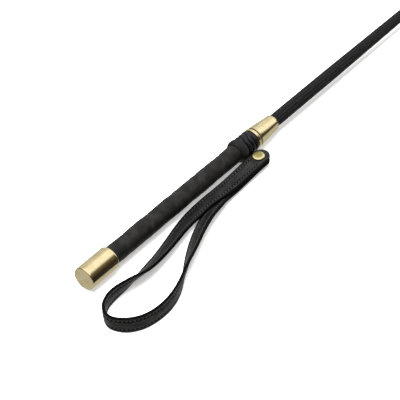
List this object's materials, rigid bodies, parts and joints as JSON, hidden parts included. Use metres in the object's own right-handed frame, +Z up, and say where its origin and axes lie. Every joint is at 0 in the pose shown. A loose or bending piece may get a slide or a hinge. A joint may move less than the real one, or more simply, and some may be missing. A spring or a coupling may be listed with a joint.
{
  "type": "riding crop",
  "caption": "Riding crop with a domed-edge metal butt cap, spiral leather handle, riveted wrist strap, tapered ferrule, braided shaft and a leather flap at the tip.",
  "frame": {"origin": "centre of the butt cap's flat end face, on the handle's axis", "axes": "+X along the handle and shaft from butt to flap; +Z up, square to the surface the crop lies on; the wrist strap lies at -Y"},
  "size_m": [0.6827, 0.0808, 0.0201],
  "materials": {
    "brass": "satin lacquered brass",
    "rivet_brass": "polished brass",
    "plug_wood": "plain turned hardwood, hidden",
    "glass_fibre": "pultruded glass fibre rod, hidden",
    "former_wood": "plain turned wood tube, hidden",
    "grip_leather": "matt black grained leather",
    "lace": "waxed black cord",
    "strap_leather": "black bridle leather, semi-matt, stitched along both edges",
    "strap_lining": "black lining leather, matt",
    "bush_nylon": "black nylon, hidden",
    "filler_cotton": "cotton filler cords, hidden",
    "braid": "tight black thread braid over lengthwise cords",
    "flap_leather": "stiff black bridle leather"
  },
  "bodies": {
    "root": {"butt_cap": "brass", "butt_plug": "plug_wood", "core_rod": "glass_fibre", "grip_former": "former_wood", "grip_wrap": "grip_leather", "neck_collar": "grip_leather", "neck_binding": "lace", "tab_root": "strap_leather", "ferrule": "brass", "ferrule_bush": "bush_nylon", "shaft_filler": "filler_cotton", "shaft_braid": "braid", "tip_whipping": "lace", "flap_tongue_upper": "flap_leather", "flap_tongue_lower": "flap_leather"},
    "hanger": {"hanger_tab": "strap_leather", "rivet_cap": "rivet_brass", "rivet_post": "rivet_brass", "rivet_foot": "rivet_brass"},
    "wrist_strap": {"strap_face": "strap_leather", "strap_lining": "strap_lining"},
    "flap": {"flap_face": "flap_leather", "flap_back": "flap_leather"}
  },
  "joints": [
    {"name": "tab_twist", "type": "hinge", "parent": "root", "child": "hanger", "pos_m": [0.1951, -0.0093, -0.0035], "axis": [0, 1, 0], "range_deg": [0, 35]},
    {"name": "strap_swivel", "type": "hinge", "parent": "hanger", "child": "wrist_strap", "pos_m": [0.1951, -0.0162, -0.0035], "axis": [0, 0, 1], "range_deg": [0, 22]},
    {"name": "flap_flex", "type": "hinge", "parent": "root", "child": "flap", "pos_m": [0.6183, 0, 0], "axis": [0, 1, 0], "range_deg": [-35, 35], "stiffness_Nm_per_rad": 0.05}
  ]
}
